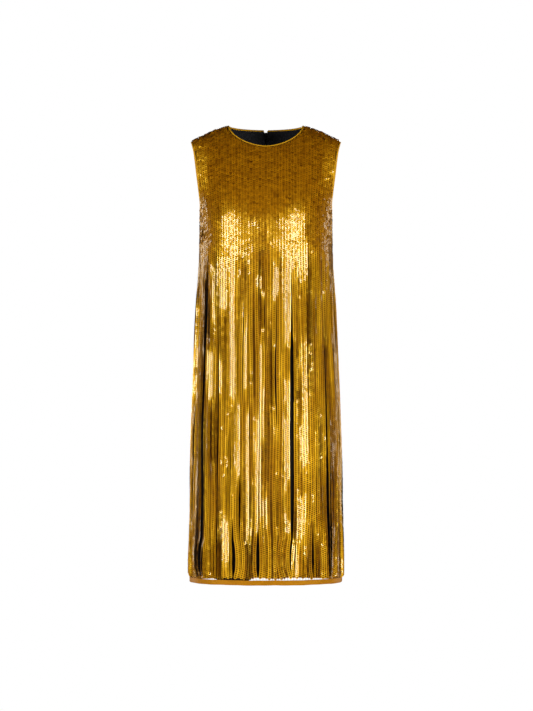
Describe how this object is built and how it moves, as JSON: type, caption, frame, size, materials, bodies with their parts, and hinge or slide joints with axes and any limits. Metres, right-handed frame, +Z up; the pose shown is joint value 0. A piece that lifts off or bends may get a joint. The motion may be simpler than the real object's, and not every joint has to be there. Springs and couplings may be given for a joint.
{
  "type": "sleeveless sequin fringe dress",
  "caption": "Sleeveless straight dress with a sequinned yoke, hanging sequin strings over a black slip, a satin hem band and a back zip.",
  "frame": {"origin": "midway between the two points where the shoulder seams meet the neckline, where the wearer's shoulders carry the dress", "axes": "+Z up, along the dress; the front faces -Y; +X to the wearer's left side"},
  "size_m": [0.3246, 0.2336, 0.9569],
  "materials": {
    "sequins": "metallic gold sequins on strings",
    "satin": "gold satin binding, soft sheen",
    "lining": "matt black slip cloth",
    "zip": "black zip with a lacquered slider"
  },
  "bodies": {
    "dress": {"yoke_front": "sequins", "yoke_back_left": "sequins", "yoke_back_right": "sequins", "slip_front": "lining", "slip_back_left": "lining", "slip_back_right": "lining", "fringe_front": "sequins", "fringe_back_left": "sequins", "fringe_back_right": "sequins", "neck_binding": "satin", "armhole_binding_left": "satin", "armhole_binding_right": "satin", "hem_band": "satin", "zip_chain": "zip", "zip_slider": "zip"},
    "pull_tab": {"zip_pull": "zip"}
  },
  "joints": [
    {"name": "pull_tab_swing", "type": "hinge", "parent": "dress", "child": "pull_tab", "pos_m": [0, 0.0635, -0.01244], "axis": [1, 0, 0], "range_deg": [0, 150]}
  ]
}
